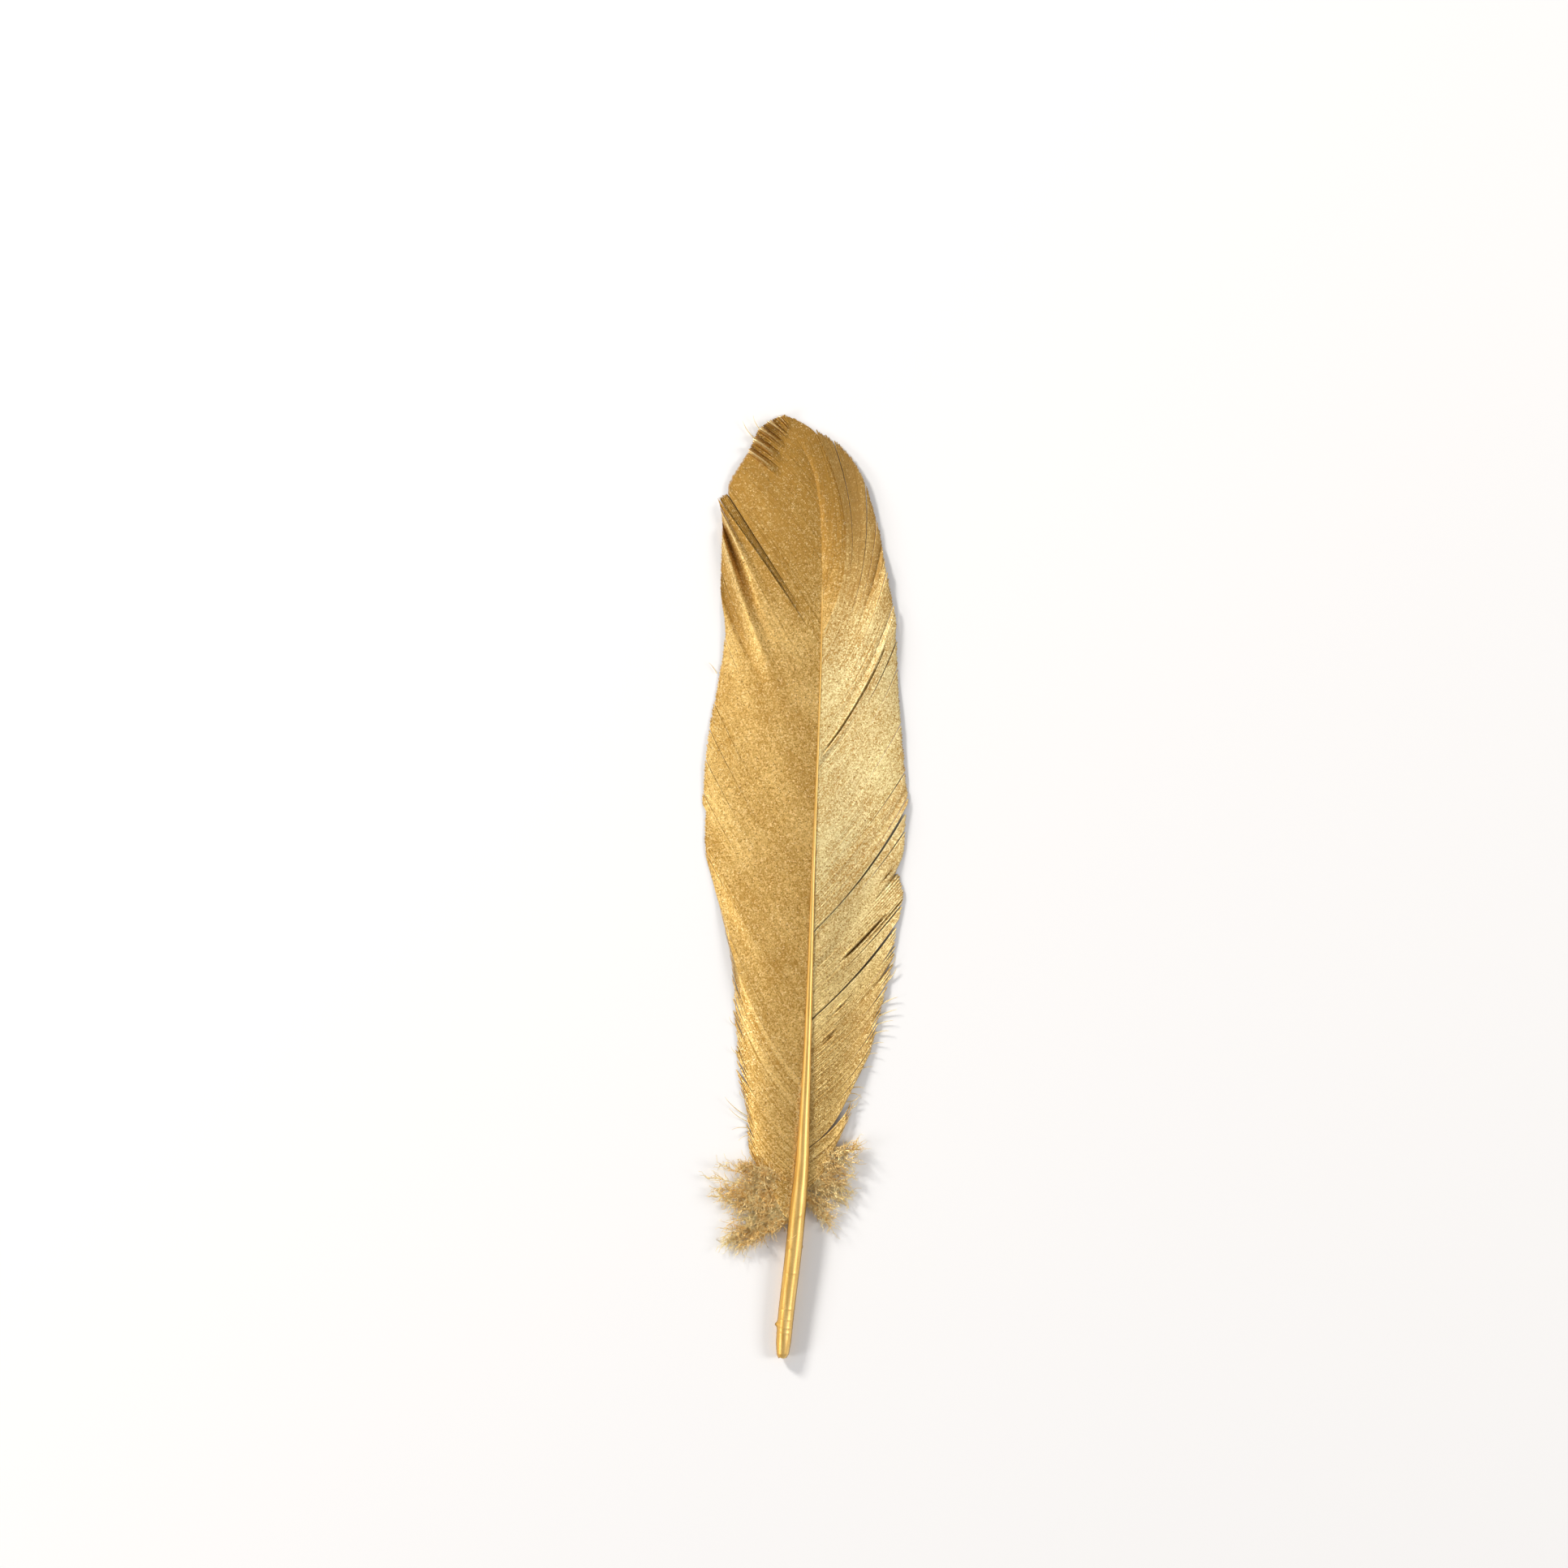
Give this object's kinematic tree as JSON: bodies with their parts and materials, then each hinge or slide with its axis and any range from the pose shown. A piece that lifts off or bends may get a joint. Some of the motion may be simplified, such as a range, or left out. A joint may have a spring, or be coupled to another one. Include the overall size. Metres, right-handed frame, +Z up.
{
  "type": "goose feather",
  "caption": "Gold-painted goose feather with a bare quill, two split vanes and downy tufts at their base, lying flat on its underside.",
  "frame": {"origin": "middle of the feather's outline, on the surface that it lies on", "axes": "+Y from the quill's end to the tip, +X across the feather to the right vane, +Z up, away from the surface"},
  "size_m": [0.037, 0.17, 0.0056],
  "materials": {
    "gold_painted_feather": "satin"
  },
  "bodies": {
    "root": {"goose_feather": "gold_painted_feather"}
  },
  "joints": []
}
